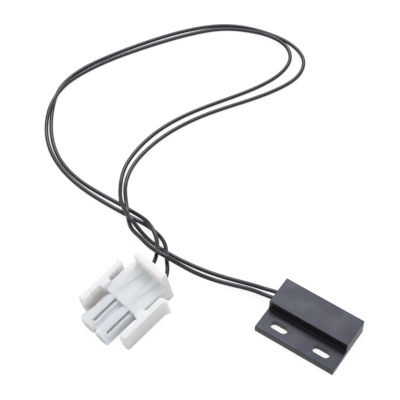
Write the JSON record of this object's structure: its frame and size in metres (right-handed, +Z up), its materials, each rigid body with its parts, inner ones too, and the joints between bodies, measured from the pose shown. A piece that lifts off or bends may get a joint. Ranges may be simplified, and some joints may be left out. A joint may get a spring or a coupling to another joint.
{
  "type": "interlock switch",
  "caption": "Flange mount magnetic interlock switch: a potted reed switch in a slotted black housing, with loose leads to a white two way latching plug.",
  "frame": {"origin": "centre of the underside of the sensor housing, measured without the leads and the plug", "axes": "+X along the housing's length, away from the leads; +Y across it, from the slotted flange to the raised block; +Z up from the mounting face"},
  "size_m": [0.1431, 0.1445, 0.0164],
  "materials": {
    "black_shell": "satin moulded",
    "black_resin": "glossy cast",
    "glass": "clear",
    "reed_metal": "bright",
    "solder": "bright",
    "copper": "tinned",
    "lead_sheath": "satin extruded",
    "nylon": "translucent moulded",
    "contact_metal": "tin plated"
  },
  "bodies": {
    "switch": {"housing": "black_shell", "potting_resin": "black_resin", "reed_glass": "glass", "solder_joint_near": "solder", "solder_joint_far": "solder", "sensor_strands_a": "copper", "sensor_strands_b": "copper", "lead_wire_a": "lead_sheath", "lead_wire_b": "lead_sheath", "plug_housing": "nylon", "contact_a": "contact_metal", "contact_b": "contact_metal", "plug_strands_a": "copper", "plug_strands_b": "copper"},
    "near_reed": {"reed_blade_near": "reed_metal"},
    "far_reed": {"reed_blade_far": "reed_metal"}
  },
  "joints": [
    {"name": "near_reed_flex", "type": "hinge", "parent": "switch", "child": "near_reed", "pos_m": [-0.0042, 0.00581, 0.00317], "axis": [0, 0, 1], "range_deg": [0, 0.56], "stiffness_Nm_per_rad": 0.0006},
    {"name": "far_reed_flex", "type": "hinge", "parent": "switch", "child": "far_reed", "pos_m": [0.0042, 0.00581, 0.00317], "axis": [0, 0, 1], "range_deg": [0, 0.56], "stiffness_Nm_per_rad": 0.0006}
  ],
  "couplings": [
    {"joint": "far_reed_flex", "follows": "near_reed_flex", "ratio": 1}
  ]
}
